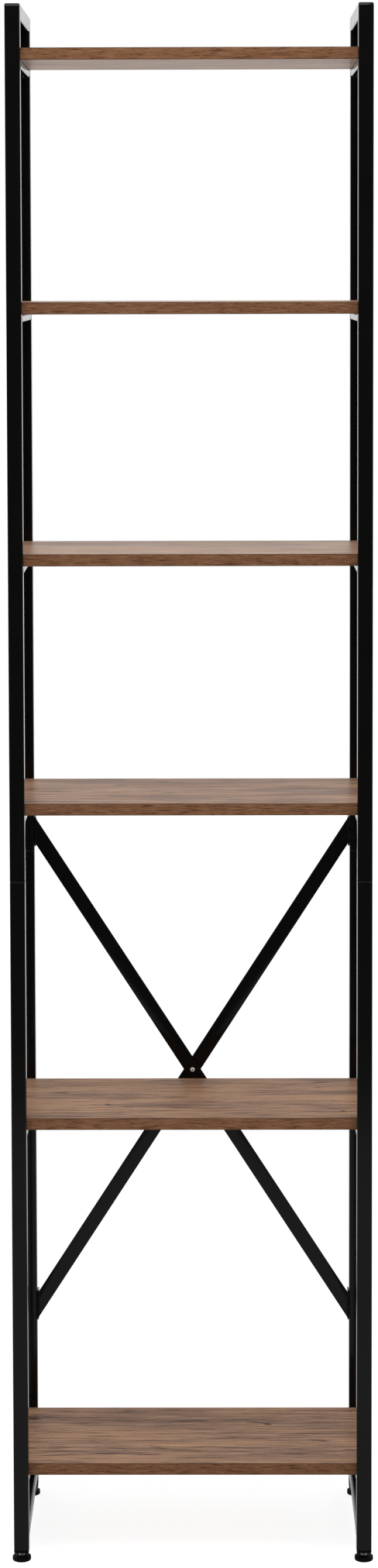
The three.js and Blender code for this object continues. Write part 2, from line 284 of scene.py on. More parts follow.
@dataclass(frozen=True)
class Finish:
    """A plain finish with a fine surface."""

    name: str
    slot: Slot
    colour: Colour
    roughness: float = 0.4
    ior: float = 1.45
    metallic: float = 0.0
    cloud: float = 0.12
    grain: Noise = Noise(900.0)
    patches: Noise = Noise(14.0, 3.0)
    bump: float = 0.02
    gloss_spread: float = 0.1

    def build(self) -> Coat:
        """Makes the material.

        Returns:
            The finish as a coat.
        """
        material, graph = blank(self.name)
        patches = graph.noise(graph.place(), self.patches)
        shade = patches * (2 * self.cloud) + (1 - self.cloud)
        relief = graph.node("ShaderNodeBump", Strength=self.bump, Distance=MM,
                            Height=graph.noise(graph.place(), self.grain))
        shader = graph.node(
            "ShaderNodeBsdfPrincipled",
            Base_Color=graph.mix(shade, grey(0.0), self.colour),
            Roughness=patches * self.gloss_spread + (self.roughness - self.gloss_spread / 2),
            Metallic=self.metallic,
            IOR=self.ior,
            Normal=relief,
        )
        graph.node("ShaderNodeOutputMaterial", Surface=shader)
        return Coat(material, self.slot)


@dataclass(frozen=True)
class Mark:
    """A dark fleck, streak or knot in one board's grain, in millimetres on the board."""

    x: float
    y: float
    half_length: float
    half_width: float
    slope: float = 0.0
    strength: float = 0.7


@dataclass(frozen=True)
class Tint:
    """Where a noise starts to tint the wood, where it tints fully, and how much."""

    start: float
    full: float
    share: float = 1.0

    def of(self, noise: Signal, strength: float = 1.0) -> Signal:
        """How much it tints each place."""
        return noise.graph.ramp(noise, self.start, self.full) * (self.share * strength)


@dataclass(frozen=True)
class Laminate:
    """Walnut-look laminate.

    The grain runs along X, or along Y where it is turned. Bands, streaks, lines, pores and figure are noises
    stretched by two scales, along the grain and across it, per metre.
    """

    name: str
    base: Colour
    smoke: Colour
    pale: Colour
    ink: Colour = (0.035, 0.025, 0.026)
    mark_ink: Colour = (0.045, 0.03, 0.03)
    marks: tuple[Mark, ...] = ()
    zones: tuple[Mark, ...] = ()
    turned: bool = False
    bands: Flat = (5.0, 26.0)
    streaks: Flat = (13.0, 120.0)
    lines: Flat = (26.0, 250.0)
    pores: Flat = (260.0, 1300.0)
    figure: Flat = (3.0, 48.0)
    band_noise: Noise = Noise(1.0, 4.0, 0.5, 0.6)
    streak_noise: Noise = Noise(1.0, 4.0, 0.6, 0.3)
    line_noise: Noise = Noise(1.0, 3.0, 0.65)
    pore_noise: Noise = Noise(1.0, 2.0, 0.5)
    figure_noise: Noise = Noise(1.0, 2.0, 0.5, 0.8)
    cloud: float = 0.9
    streak_depth: float = 0.4
    dark_bands: Tint = Tint(0.4, 0.64)
    pale_streaks: Tint = Tint(0.5, 0.7)
    dark_streaks: Tint = Tint(0.48, 0.33)
    dark_lines: Tint = Tint(0.46, 0.37, 0.8)
    pale_lines: Tint = Tint(0.54, 0.64, 0.7)
    dark_pores: Tint = Tint(0.54, 0.7, 0.4)
    hairs: Tint = Tint(0.022, 0.0, 0.5)
    hair_streaks: Tint = Tint(0.42, 0.6)
    noise_middle: float = 0.5
    drift_noise: Noise = Noise(9.0, rough=0.5)
    drift: float = 0.012
    drift_up: float = 1 / 3
    slice_step: float = 7.0
    mark_edge: Flat = (1.35, 0.4)
    mark_ragged: float = 0.4
    mark_gain: float = 1.25
    roughness: float = 0.5
    gloss_spread: float = 0.16
    ior: float = 1.03
    sheen: Flat = (0.26, 0.72)
    sheen_facing: Flat = (0.74, 0.93)
    sheen_streaks: Tint = Tint(0.35, 0.65, 0.5)
    sheen_roughness: float = 0.36
    sheen_ior: float = 1.3
    bump: float = 0.12
    bump_depth: float = 0.1 * MM

    def grain(self, graph: Graph, stretch: Flat, kind: Noise) -> Signal:
        """A noise stretched along the grain, with a slow drift, and different in every board.

        Args:
            graph: the material's graph.
            stretch: scales along the grain and across it, per metre.
            kind: the noise's character.

        Returns:
            The noise.
        """
        spot = graph.place()
        if self.turned:
            spot = graph.node("ShaderNodeMapping", Vector=spot, Rotation=(0.0, 0.0, math.pi / 2)).outputs[0]
        wander = graph.noise(spot, self.drift_noise, "Color")
        spot = graph.vector("MULTIPLY_ADD", wander, (0.0, self.drift, self.drift * self.drift_up), spot)
        along, across = stretch
        return graph.noise(graph.vector("MULTIPLY", spot, (along, across, across + self.slice_step)), kind)

    def marked(self, marks: Sequence[Mark], ragged: Signal) -> Signal:
        """How much of each place some marks cover.

        Args:
            marks: the marks.
            ragged: the noise that makes their edges ragged.

        Returns:
            The cover, from 0 to 1.
        """
        graph = ragged.graph
        spot = graph.vector("MULTIPLY", graph.place(), (1.0, 1.0, 0.0))
        covers = []
        for mark in marks:
            local = graph.node("ShaderNodeMapping", {"vector_type": "TEXTURE"}, Vector=spot,
                               Location=(mark.x * MM, mark.y * MM, 0.0),
                               Rotation=(0.0, 0.0, math.atan(mark.slope)),
                               Scale=(mark.half_length * MM, mark.half_width * MM, 1.0))
            reach = graph.signal("ShaderNodeVectorMath", "Value", {"operation": "LENGTH"}, (local,))
            inside = graph.ramp(reach + ragged * self.mark_ragged, *self.mark_edge)
            covers.append(inside * min(1.0, self.mark_gain * mark.strength))
        return reduce(or_, covers)

    def gloss(self, streaks: Signal) -> Signal:
        """The coat's weight: more towards a flat view, and more on the pale grain.

        Args:
            streaks: the noise of the streaks.

        Returns:
            The weight.
        """
        graph = streaks.graph
        facing = graph.signal("ShaderNodeLayerWeight", "Facing")
        low, high = self.sheen
        weight = graph.ramp(facing, *self.sheen_facing) * (high - low) + low
        return weight * (self.sheen_streaks.of(streaks) + (1 - self.sheen_streaks.share / 2))

    def tone(self, graph: Graph, streaks: Signal, lines: Signal) -> bpy.types.NodeSocket:
        """The wood's colour.

        Args:
            graph: the material's graph.
            streaks: the noise of the streaks.
            lines: the noise of the fine lines.

        Returns:
            The colour.
        """
        bands = self.grain(graph, self.bands, self.band_noise)
        pores = self.grain(graph, self.pores, self.pore_noise)
        figure = self.grain(graph, self.figure, self.figure_noise)
        cloud = self.dark_bands.of(bands, self.cloud)
        if self.zones:
            cloud = cloud + self.marked(self.zones, bands)
        layers = [
            (cloud, self.smoke),
            (self.pale_streaks.of(streaks, self.streak_depth), self.pale),
            (self.dark_streaks.of(streaks, self.streak_depth), self.smoke),
            (self.dark_lines.of(lines), self.ink),
            (self.pale_lines.of(lines), self.pale),
            (self.dark_pores.of(pores), self.ink),
            (self.hairs.of(abs(figure - self.noise_middle)) * self.hair_streaks.of(streaks), self.ink),
        ]
        if self.marks:
            layers.append((self.marked(self.marks, streaks), self.mark_ink))
        tone = self.base
        for share, colour in layers:
            tone = graph.mix(share, tone, colour)
        return tone

    def build(self) -> Coat:
        """Makes the material.

        Returns:
            The laminate as a coat.
        """
        material, graph = blank(self.name)
        streaks = self.grain(graph, self.streaks, self.streak_noise)
        lines = self.grain(graph, self.lines, self.line_noise)
        shader = graph.node(
            "ShaderNodeBsdfPrincipled",
            Base_Color=self.tone(graph, streaks, lines),
            Roughness=streaks * self.gloss_spread + (self.roughness - self.gloss_spread / 2),
            IOR=self.ior,
            Coat_Weight=self.gloss(streaks),
            Coat_Roughness=self.sheen_roughness,
            Coat_IOR=self.sheen_ior,
            Normal=graph.node("ShaderNodeBump", Strength=self.bump, Distance=self.bump_depth, Height=lines),
        )
        graph.node("ShaderNodeOutputMaterial", Surface=shader)
        return Coat(material, Slot.WOOD)


BOARD_COUNT = 6
BOARD_MARKS = {
    1: (
        Mark(-223, 66, 13, 14, -0.3, 0.6), Mark(-205, 70, 14, 4, -0.1, 0.4), Mark(-7, 54, 40, 3.6, 0.06, 0.75),
        Mark(62, 58, 38, 3.2, 0.02, 0.3), Mark(103, 42, 10, 5, -0.4, 0.9), Mark(85, 50, 18, 3, -0.35, 0.6),
        Mark(-184, -78, 40, 2.4, 0.085, 0.75), Mark(-113, -73, 46, 2.2, 0.06, 0.7),
        Mark(-184, -52, 22, 4, 0.156, 0.4), Mark(-100, -53, 20, 4, -0.25, 0.4), Mark(-46, -51, 17, 4, -0.39, 0.4),
        Mark(174, 4, 54, 1.9, -0.05, 0.8), Mark(173, -22, 18, 4, -0.18, 0.6), Mark(142, -56, 20, 3, -0.12, 0.4),
        Mark(213, -58, 13, 2, 0.0, 0.6), Mark(128, -72, 43, 2, -0.09, 0.7),
    ),
    2: (
        Mark(-180, 27, 18, 3.2, -0.1, 0.75), Mark(-191, 0, 36, 1.8, -0.05, 0.75), Mark(-114, -37, 7, 5, -0.65, 0.85),
        Mark(-87, -49, 15, 3, -0.09, 0.6), Mark(-14, -51, 40, 3.4, 0.04, 0.65), Mark(136, 72, 18, 2.4, 0.36, 0.7),
        Mark(174, 82, 24, 2.6, 0.12, 0.8), Mark(174, 57, 7, 2.6, -0.14, 0.6), Mark(73, -25, 24, 2.2, 0.05, 0.6),
        Mark(171, -46, 50, 2.2, 0.013, 0.6), Mark(204, -72, 6, 4, -0.6, 0.7), Mark(195, -58, 26, 7, 0.0, 0.35),
    ),
    3: (
        Mark(-98, 48, 12, 5, -0.35, 0.6), Mark(-40, 77, 14, 5, 0.2, 0.6), Mark(-28, -17, 9, 4, 0.19, 0.6),
        Mark(-218, 10, 12, 5, -0.15, 0.6),
    ),
}

BOARD_ZONES = {
    1: (Mark(40, 55, 190, 22, 0.0, 0.5), Mark(-150, 66, 90, 16, 0.0, 0.35), Mark(-120, -64, 130, 20, 0.05, 0.5),
        Mark(120, -62, 130, 24, -0.02, 0.5), Mark(190, 30, 60, 16, 0.0, 0.3), Mark(20, -95, 240, 12, 0.0, 0.3)),
    2: (Mark(0, 84, 70, 20, 0.0, 0.55), Mark(-190, 78, 60, 18, 0.0, 0.35), Mark(20, -38, 150, 22, 0.0, 0.45),
        Mark(-150, 24, 80, 16, 0.0, 0.35), Mark(190, -62, 60, 22, 0.0, 0.45), Mark(150, 66, 90, 18, 0.05, 0.4)),
    3: (Mark(0, 60, 160, 26, 0.0, 0.45), Mark(-130, -50, 120, 24, 0.0, 0.4), Mark(150, 0, 100, 24, 0.0, 0.4)),
}


class Finishes:
    """The part's materials."""

    def __init__(self) -> None:
        """Makes each material once."""
        tops = dict(base=(0.37, 0.212, 0.127), smoke=(0.225, 0.132, 0.092), pale=(0.47, 0.285, 0.175),
                    ink=(0.07, 0.042, 0.032), bands=(3.0, 17.0), streaks=(6.0, 140.0), lines=(12.0, 320.0),
                    streak_depth=0.3, drift=0.009)
        bands = dict(base=(0.15, 0.069, 0.034), smoke=(0.115, 0.05, 0.023), pale=(0.27, 0.14, 0.08),
                     ink=(0.05, 0.022, 0.011), bands=(3.0, 40.0), streaks=(9.0, 300.0), lines=(42.0, 650.0),
                     cloud=0.25, streak_depth=0.1, pale_lines=Tint(0.54, 0.64, 0.35),
                     drift_noise=Noise(24.0, rough=0.5), drift=0.006)
        self.laminates = {
            number: Laminate(f"walnut_laminate_board_{number}", marks=BOARD_MARKS.get(number, ()),
                             zones=BOARD_ZONES.get(number, ()), **tops).build()
            for number in range(1, BOARD_COUNT + 1)
        }
        self.band = Laminate("walnut_edge_band", **bands).build()
        self.side_band = Laminate("walnut_edge_band_sides", turned=True, **bands).build()
        self.lip = Laminate("walnut_edge_band_lip", base=(0.1, 0.046, 0.022), smoke=(0.055, 0.024, 0.013),
                            pale=(0.13, 0.06, 0.03)).build()
        self.paint = Finish("black_powder_paint", Slot.PAINT, (0.0021, 0.0019, 0.0018), 0.14, 1.27,
                            cloud=0.45).build()
        # Black-oxide steel: the shelf screws' own finish, and also the dark material painted inside the zinc screws'
        # sockets as painted shade.
        self.black_oxide_and_socket_shade = Finish("black_oxide_steel_and_socket_shade", Slot.PAINT, (0.005, 0.0048, 0.0048), 0.5, 1.25).build()
        self.zinc = Finish("bright_zinc", Slot.STEEL, (0.88, 0.89, 0.87), 0.42, 1.45, 0.35).build()
        self.dull_zinc = Finish("dull_zinc", Slot.STEEL, (0.5, 0.51, 0.5), 0.45, 1.45, 0.9).build()
        self.plastic = Finish("black_moulded_plastic", Slot.PLASTIC, (0.003, 0.003, 0.003), 0.5, 1.12).build()


# ---------------------------------------------------------------- shapes


def rounded(half_u: float, half_v: float, radius: float, steps: int = 5) -> Outline:
    """Points of a rectangle with rounded corners, anticlockwise.

    Args:
        half_u: half the width.
        half_v: half the height.
        radius: radius of the corners.
        steps: straight pieces in each corner.

    Returns:
        The points.
    """
    points = []
    for quarter, (su, sv) in enumerate(((1, 1), (-1, 1), (-1, -1), (1, -1))):
        for step in range(steps + 1):
            turn = (quarter + step / steps) * math.pi / 2
            points.append((su * (half_u - radius) + radius * math.cos(turn),
                           sv * (half_v - radius) + radius * math.sin(turn)))
    return points


def circle(radius: float, count: int) -> Outline:
    """Points of a circle, anticlockwise."""
    return [(radius * math.cos(math.tau * k / count), radius * math.sin(math.tau * k / count)) for k in range(count)]


def hexagon(corner: float, count: int) -> Outline:
    """Points of a hexagon at even angles.

    Args:
        corner: how far its corners are from the middle.
        count: how many points, a multiple of six.

    Returns:
        The points.
    """
    sector = math.pi / 3
    points = []
    for k in range(count):
        turn = math.tau * k / count
        reach = corner * math.cos(sector / 2) / math.cos(turn % sector - sector / 2)
        points.append((reach * math.cos(turn), reach * math.sin(turn)))
    return points


def arc(centre: float, height: float, radius: float, start: float, end: float, steps: int = 5) -> Outline:
    """Profile points of an arc about a point of the profile."""
    turns = [start + (end - start) * k / steps for k in range(steps + 1)]
    return [(centre + radius * math.cos(t), height + radius * math.sin(t)) for t in turns]


def shrunk(points: Sequence[Flat], by: float) -> Outline:
    """A convex outline with each point moved towards the middle by the same length on each axis."""
    return [(u - math.copysign(min(by, abs(u)), u), v - math.copysign(min(by, abs(v)), v)) for u, v in points]


def ends(outline: Outline, slim: Outline, low: float, high: float, edge: float) -> list[tuple[Outline, float]]:
    """Outlines and heights of a bar whose two ends are eased, from the low end up."""
    return [(slim, low), (outline, low + edge), (outline, high - edge), (slim, high)]


def placed(put: Placer, plan: Iterable[tuple[Outline, float]]) -> Rows:
    """Rows of points from outlines and their heights."""
    return [[put(u, v, height) for u, v in line] for line, height in plan]


def stand(axis: Axis, centre: Point, flip: int = 1) -> Placer:
    """A function that places a flat point and a height along an axis.

    Args:
        axis: the direction of the height.
        centre: where the flat point (0, 0) at height 0 goes.
        flip: -1 to run the height the other way.

    Returns:
        The function.
    """

    def put(u: float, v: float, height: float) -> Vector:
        """The place of one point."""
        spot = {Axis.X: (flip * height, u, v), Axis.Y: (u, flip * height, v), Axis.Z: (u, v, flip * height)}[axis]
        return Vector([middle + way for middle, way in zip(centre, spot)])

    return put


class Shape:
    """Collects the faces of one piece."""

    JOIN = 0.002 * MM

    def __init__(self) -> None:
        """Starts empty."""
        self.mesh = bmesh.new()

    def ring(self, points: Iterable[Sequence[float]]) -> list[bmesh.types.BMVert]:
        """Adds a row of corners."""
        return [self.mesh.verts.new(p) for p in points]

    def bridge(self, first: Sequence[bmesh.types.BMVert], second: Sequence[bmesh.types.BMVert]) -> None:
        """Joins two closed rows of as many corners with a band of faces.

        Args:
            first: the first row.
            second: the second row.
        """
        count = len(first)
        for k in range(count):
            n = (k + 1) % count
            self.mesh.faces.new((first[k], first[n], second[n], second[k]))

    def loft(self, rows: Sequence[Sequence[Vector]], loop: bool = False) -> "Shape":
        """Skins closed rows of points.

        Args:
            rows: the rows in order, each with as many points.
            loop: True to join the last row to the first; otherwise both ends are capped.

        Returns:
            The shape.
        """
        rings = [self.ring(row) for row in rows]
        for first, second in zip(rings, rings[1:]):
            self.bridge(first, second)
        if loop:
            self.bridge(rings[-1], rings[0])
        else:
            self.mesh.faces.new(list(reversed(rings[0])))
            self.mesh.faces.new(rings[-1])
        return self

    def close(self, name: str, material: bpy.types.Material) -> bpy.types.Object:
        """Makes the shape an object of the scene.

        Args:
            name: the object's name.
            material: its first material.

        Returns:
            The object.
        """
        data = bpy.data.meshes.new(name)
        self.mesh.to_mesh(data)
        self.mesh.free()
        data.materials.append(material)
        return link(name, data)

    def piece(self, name: str, coat: Coat, node: str = "", body: str = FRAME_BODY,
              sharp: float = 35.0) -> bpy.types.Object:
        """Closes the shape into a named piece.

        Args:
            name: the piece's name.
            coat: its material and slot.
            node: the CAD node that it stands for, if any.
            body: the CAD body that it rides on.
            sharp: the least angle of an edge that stays sharp, in degrees.

        Returns:
            The piece.
        """
        bmesh.ops.remove_doubles(self.mesh, verts=self.mesh.verts, dist=self.JOIN)
        bmesh.ops.recalc_face_normals(self.mesh, faces=self.mesh.faces)
        made = self.close(name, coat.material)
        made.data.shade_smooth()
        made.data.set_sharp_from_angle(angle=math.radians(sharp))
        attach(made, body)
        if node:
            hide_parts(node)
        LOG.info("%s: %d faces", name, len(made.data.polygons))
        return made


def dress(piece: bpy.types.Object, more: Sequence[Coat], choose: Callable[[Vector], int]) -> None:
    """Gives a piece more materials and each face one of them.

    Args:
        piece: the piece.
        more: the coats after its first.
        choose: from a face's middle to the number of its material.
    """
    for coat in more:
        piece.data.materials.append(coat.material)
    for face in piece.data.polygons:
        face.material_index = choose(Vector(face.center))


def cad_finish(node: str, coat: Coat) -> None:
    """Gives a carried-over CAD node a finish.

    Args:
        node: the node's name.
        coat: the finish.
    """
    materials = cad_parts[node].data.materials
    materials.clear()
    materials.append(coat.material)


@dataclass(frozen=True)
class Tube:
    """A rectangular tube with rounded corners and chamfered ends."""

    half_u: float
    half_v: float
    corner: float
    chamfer: float
    wall: float = 1.2 * MM

    def outer(self) -> Outline:
        """The outside of the section."""
        return rounded(self.half_u, self.half_v, self.corner)

    def inner(self) -> Outline:
        """The inside of the section."""
        return rounded(self.half_u - self.wall, self.half_v - self.wall, self.corner - self.wall)

    def rows(self, put: Placer, low: float, high: float) -> Rows:
        """Rows of the tube for a looped loft.

        Args:
            put: places a flat point and a height.
            low: where the tube starts.
            high: where it ends.

        Returns:
            The rows.
        """
        outer, inner = self.outer(), self.inner()
        plan = ends(outer, shrunk(outer, self.chamfer), low, high, self.chamfer)
        return placed(put, plan + [(inner, high), (inner, low)])


@dataclass(frozen=True)
class Thread:
    """A threaded shank whose ends taper to the root."""

    radius: float
    depth: float
    pitch: float
    corners: int = 36
    steps_per_turn: int = 6
    flank: float = 2.6
    root: float = 0.15

    def rows(self, put: Placer, low: float, high: float) -> Rows:
        """Rows of the shank.

        Args:
            put: places a flat point and a height.
            low: where the shank starts.
            high: where it ends.

        Returns:
            The rows.
        """
        steps = max(2, round((high - low) / self.pitch * self.steps_per_turn))
        rows = []
        for step in range(steps + 1):
            height = low + (high - low) * step / steps
            ease = min(1.0, (height - low) / self.pitch, (high - height) / self.pitch)
            row = []
            for k, (u, v) in enumerate(circle(1.0, self.corners)):
                phase = ((height - low) / self.pitch - k / self.corners) % 1.0
                crest = min(1.0, max(0.0, self.flank * abs(phase - 0.5) - self.root))
                reach = self.radius - self.depth * (1.0 - crest * ease)
                row.append(put(reach * u, reach * v, height))
            rows.append(row)
        return rows


@dataclass(frozen=True)
class Weld:
    """A bead along a line, with the ripples of its runs.

    An open bead's ends start at a share of its radius and swell by another with each step. Round a tube, it is
    sunk into the flush sides and stands proud of the others, by shares of its radius.
    """

    radius: float = 1.1 * MM
    ripple: float = 0.1 * MM
    pitch: float = 2.2 * MM
    step: float = 0.55 * MM
    bite: float = 0.2 * MM
    corners: int = 8
    least_steps: int = 6
    end_start: float = 0.35
    end_swell: float = 0.25
    sunk: float = 0.85
    proud: float = 0.35
    turn_steps: int = 3

    def spread(self, path: Sequence[Vector], closed: bool) -> list[Vector]:
        """The path's points at even steps.

        Args:
            path: the path's corners.
            closed: True for a path that returns to its start.

        Returns:
            The points.
        """
        line = list(path) + ([path[0]] if closed else [])
        spans = [(b - a).length for a, b in zip(line, line[1:])]
        total = sum(spans)
        count = max(self.least_steps, round(total / self.step))
        points = []
        for k in range(count if closed else count + 1):
            left = total * k / count
            spot = line[-1]
            for a, b, span in zip(line, line[1:], spans):
                if left <= span and span > 0:
                    spot = a.lerp(b, left / span)
                    break
                left -= span
            points.append(spot)
        return points

    def add(self, shape: Shape, path: Sequence[Vector], closed: bool) -> None:
        """Adds the bead to a shape.

        Args:
            shape: the shape that gets it.
            path: corners of its middle line, in one plane across the unit.
            closed: True for a bead that runs all round.
        """
        points = self.spread(path, closed)
        count = len(points)
        turns = [math.tau * c / self.corners for c in range(self.corners)]
        rows = []
        for k, spot in enumerate(points):
            before = points[k - 1] if k or closed else spot
            after = points[(k + 1) % count] if k + 1 < count or closed else spot
            side = (after - before).normalized().cross(DEPTHWAYS)
            radius = self.radius + self.ripple * math.cos(math.tau * k * self.step / self.pitch)
            if not closed:
                radius *= min(1.0, self.end_start + self.end_swell * min(k, count - 1 - k))
            rows.append([spot + radius * (math.cos(t) * side + math.sin(t) * DEPTHWAYS) for t in turns])
        shape.loft(rows, loop=closed)

    def butt(self, shape: Shape, put: Placer, tube: Tube, reach: float, closed: bool) -> None:
        """Welds both ends of a tube between two posts.

        Args:
            shape: the shape that gets the beads.
            put: places a flat point and a height along the tube.
            tube: the tube, flush with the posts' sides.
            reach: where the posts' faces are.
            closed: True for a bead all round, False for one without the top.
        """
        wide = tube.half_u - self.sunk * self.radius
        tall = tube.half_v + self.proud * self.radius
        brim = tube.half_v - 2 * self.radius
        line = (rounded(wide, tall, self.radius, self.turn_steps) if closed
                else [(-wide, brim), (-wide, -tall), (wide, -tall), (wide, brim)])
        for end in (-1, 1):
            self.add(shape, [put(u, v, end * (reach - self.bite)) for u, v in line], closed)


@dataclass(frozen=True)
class Screw:
    """A button-head screw with a hexagon socket and a cut thread; shares are of the head's radius and height."""

    head: float
    height: float
    shank: float
    length: float
    socket: float
    depth: float
    pitch: float
    corners: int = 36
    cut: float = 0.14
    foot: float = 0.95
    crown: float = 0.5
    rim: float = 0.25
    dome_steps: int = 6
    lip: float = 0.12 * MM
    lip_slope: float = 1 / 12
    slack: float = 1.01

    def outlines(self) -> list[tuple[Outline, float]]:
        """The head's outlines and heights, from its base over the dome into the socket.

        Returns:
            Pairs of an outline and its height.
        """
        crown, rim = self.crown * self.head, self.rim * self.height
        profile = [(self.head * self.foot, 0.0), (self.head, rim / 3), (self.head, rim)]
        for k in range(1, self.dome_steps + 1):
            turn = math.pi / 2 * k / self.dome_steps
            profile.append((crown + (self.head - crown) * math.cos(turn), rim + (self.height - rim) * math.sin(turn)))
        hole = hexagon(self.socket, self.corners)
        return [(circle(r, self.corners), h) for r, h in profile] + [
            (hexagon(self.socket + self.lip, self.corners), self.height),
            (hole, self.brim()), (hole, self.height - self.depth)]

    def brim(self) -> float:
        """The height at which the socket's walls start."""
        return self.height - (self.socket + self.lip) * self.lip_slope

    def build(self, name: str, put: Placer, coat: Coat, shade: Coat, node: str = "") -> None:
        """Makes the screw, its head on the placed axis's positive side.

        Args:
            name: the piece's name.
            put: places a flat point and a height above the head's base.
            coat: its finish.
            shade: the dark material painted on the socket's inside as painted shade of the recess.
            node: the CAD node that it stands for, if any.
        """
        thread = Thread(self.shank, self.cut * self.shank, self.pitch, self.corners)
        rows = thread.rows(put, -self.length, 0.0) + placed(put, self.outlines())
        middle = put(0.0, 0.0, 0.0)
        axis = (put(0.0, 0.0, self.height) - middle).normalized()

        def inside(centre: Vector) -> int:
            """Tells the socket's inside, where the shade is painted, from the rest.

            Args:
                centre: a face's middle.

            Returns:
                1 inside the socket, where the shade is painted, 0 elsewhere.
            """
            height = (centre - middle).dot(axis)
            radius = (centre - middle - height * axis).length
            return int(radius < self.socket * self.slack and 0 < height < self.brim())

        # The socket's faces get the dark material: painted shade of the recess.
        dress(Shape().loft(rows).piece(name, coat, node), (shade,), inside)


# ---------------------------------------------------------------- sub-assemblies


@dataclass(frozen=True)
class SteelFrame:
    """The two modules of square tube: posts, top rails and bottom rails."""

    finishes: Finishes
    tube: Tube = Tube(10 * MM, 10 * MM, 2 * MM, 0.5 * MM)
    post_x: float = 230 * MM
    post_y: float = 120 * MM
    lower_end: float = 15 * MM
    seam: float = 922 * MM
    seam_gap: float = 0.3 * MM
    top: float = 2076 * MM
    bend: float = 4 * MM
    bend_steps: int = 4
    mitre_gap: float = 0.1 * MM
    bottom_rail: float = 39 * MM

    def build(self) -> None:
        """Makes every post and rail."""
        for side, sx in SIDES:
            for depth, sy in DEPTHS:
                self.lower_post(f"lower_post_{depth}_{side}", sx, sy)
                self.upper_post(f"upper_post_{depth}_{side}", sx, sy)
            self.top_rail(f"top_rail_{side}", sx)
            self.low_rail(f"bottom_rail_{side}", sx)

    def finish(self, node: str, shape: Shape) -> None:
        """Closes a shape into the piece of a CAD node."""
        shape.piece(f"{node}_tube", self.finishes.paint, node)

    def lower_post(self, node: str, sx: int, sy: int) -> None:
        """One post of the lower module."""
        put = stand(Axis.Z, (sx * self.post_x, sy * self.post_y, 0.0))
        self.finish(node, Shape().loft(self.tube.rows(put, self.lower_end, self.seam), loop=True))

    def turns(self) -> list[float]:
        """The angles of a mitred end's rows, from the tube's direction to the mitre."""
        return [math.pi / 4 * k / self.bend_steps for k in range(self.bend_steps + 1)]

    def mitred(self, line: Outline, turn: float) -> list[Point]:
        """Where the section's points lie at an angle round the top corner.

        Args:
            line: section points, across and outward.
            turn: the angle from the tube's direction, in radians.

        Returns:
            For each point its place across, its place outward, and its height below the corner.
        """
        hinge = self.tube.half_v - self.bend
        spots = []
        for u, v in line:
            base, reach = min(v, hinge), max(v - hinge, 0.0)
            spots.append((u, base + reach * math.cos(turn),
                          base - hinge - self.bend + reach * math.sin(turn) - self.mitre_gap))
        return spots

    def upper_post(self, node: str, sx: int, sy: int) -> None:
        """One post of the upper module, mitred at the top.

        Args:
            node: the CAD node.
            sx: -1 on the left, 1 on the right.
            sy: -1 in front, 1 at the rear.
        """
        outer, inner = self.tube.outer(), self.tube.inner()
        low = self.seam + self.seam_gap

        def row(spots: Iterable[Point], rise: float) -> list[Vector]:
            """One row of the post, raised."""
            return [Vector((sx * self.post_x + u, sy * (self.post_y + out), rise + height))
                    for u, out, height in spots]

        def level(line: Outline, height: float) -> list[Vector]:
            """One level row."""
            return row([(u, v, 0.0) for u, v in line], height)

        rows = [level(shrunk(outer, self.tube.chamfer), low), level(outer, low + self.tube.chamfer)]
        rows += [row(self.mitred(outer, turn), self.top) for turn in self.turns()]
        rows += [row(self.mitred(inner, 0.0), self.top), level(inner, low)]
        self.finish(node, Shape().loft(rows, loop=True))

    def top_rail(self, node: str, sx: int) -> None:
        """One top rail with its two mitred ends.

        Args:
            node: the CAD node.
            sx: -1 on the left, 1 on the right.
        """
        outer, inner = self.tube.outer(), self.tube.inner()
        half = self.tube.half_v

        def row(line: Outline, sy: int, turn: float) -> list[Vector]:
            """One row across the rail; the section's outward side is the rail's top."""
            return [Vector((sx * self.post_x + u, sy * (self.post_y + half + height), self.top - half + out))
                    for u, out, height in self.mitred(line, turn)]

        rows = [row(outer, -1, turn) for turn in reversed(self.turns())]
        rows += [row(outer, 1, turn) for turn in self.turns()]
        rows += [row(inner, 1, 0.0), row(inner, -1, 0.0)]
        self.finish(node, Shape().loft(rows, loop=True))

    def low_rail(self, node: str, sx: int) -> None:
        """One bottom rail, welded between the lower posts.

        Args:
            node: the CAD node.
            sx: -1 on the left, 1 on the right.
        """
        face = self.post_y - self.tube.half_v
        reach = face - self.tube.chamfer
        put = stand(Axis.Y, (sx * self.post_x, 0.0, self.bottom_rail))
        shape = Shape().loft(self.tube.rows(put, -reach, reach), loop=True)
        Weld().butt(shape, put, self.tube, face, closed=True)
        self.finish(node, shape)


